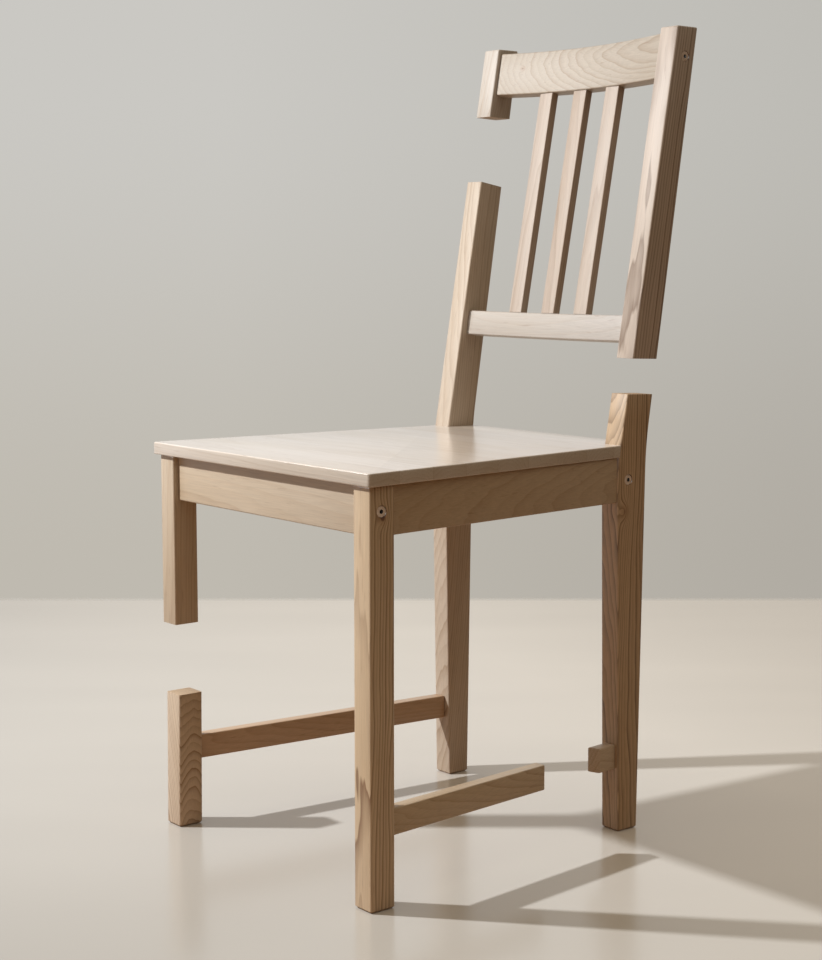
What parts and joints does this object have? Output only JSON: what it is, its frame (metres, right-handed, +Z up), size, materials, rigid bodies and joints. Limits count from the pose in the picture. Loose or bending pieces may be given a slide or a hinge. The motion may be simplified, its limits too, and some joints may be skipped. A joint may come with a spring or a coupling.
{
  "type": "broken wooden dining chair",
  "caption": "Pale wooden side chair with a slatted, leaning back; lengths of one front leg, both back posts and one side stretcher are sawn away.",
  "frame": {"origin": "middle of the overall footprint, on the floor under the feet", "axes": "+Z up; the chair faces -Y, so its back is towards +Y; +X is to the right of someone who looks at its front"},
  "size_m": [0.4098, 0.5048, 0.92],
  "materials": {
    "pine": "satin clear lacquer",
    "seat_pine": "satin clear lacquer, a little glossier than the frame",
    "dowel_wood": "bare turned wood",
    "zinc_steel": "zinc-plated"
  },
  "bodies": {
    "root": {"crest_left_barrel_nut": "zinc_steel", "crest_left_bolt": "zinc_steel", "crest_left_dowel": "dowel_wood", "crest_rail": "pine", "crest_right_barrel_nut": "zinc_steel", "crest_right_bolt": "zinc_steel", "crest_right_dowel": "dowel_wood", "front_apron": "pine", "front_apron_left_barrel_nut": "zinc_steel", "front_apron_left_bolt": "zinc_steel", "front_apron_left_dowel": "dowel_wood", "front_apron_right_barrel_nut": "zinc_steel", "front_apron_right_bolt": "zinc_steel", "front_apron_right_dowel": "dowel_wood", "front_left_leg_stub": "pine", "front_left_leg_stump": "pine", "front_right_leg": "pine", "left_apron": "pine", "left_apron_front_lower_dowel": "dowel_wood", "left_apron_front_upper_dowel": "dowel_wood", "left_apron_rear_lower_dowel": "dowel_wood", "left_apron_rear_upper_dowel": "dowel_wood", "left_stretcher": "pine", "left_stretcher_front_dowel": "dowel_wood", "left_stretcher_rear_dowel": "dowel_wood", "lower_back_rail": "pine", "lower_rail_left_dowel": "dowel_wood", "lower_rail_right_dowel": "dowel_wood", "rear_apron": "pine", "rear_apron_left_barrel_nut": "zinc_steel", "rear_apron_left_bolt": "zinc_steel", "rear_apron_left_dowel": "dowel_wood", "rear_apron_right_barrel_nut": "zinc_steel", "rear_apron_right_bolt": "zinc_steel", "rear_apron_right_dowel": "dowel_wood", "rear_left_post": "pine", "rear_left_post_stub": "pine", "rear_right_post_lower": "pine", "rear_right_post_upper": "pine", "right_apron": "pine", "right_apron_front_lower_dowel": "dowel_wood", "right_apron_front_upper_dowel": "dowel_wood", "right_apron_rear_lower_dowel": "dowel_wood", "right_apron_rear_upper_dowel": "dowel_wood", "right_stretcher_front": "pine", "right_stretcher_front_dowel": "dowel_wood", "right_stretcher_rear_dowel": "dowel_wood", "right_stretcher_stub": "pine", "seat": "seat_pine", "seat_screw_front_left": "zinc_steel", "seat_screw_front_right": "zinc_steel", "seat_screw_rear_left": "zinc_steel", "seat_screw_rear_right": "zinc_steel", "slat_1": "pine", "slat_2": "pine", "slat_3": "pine"}
  },
  "joints": []
}
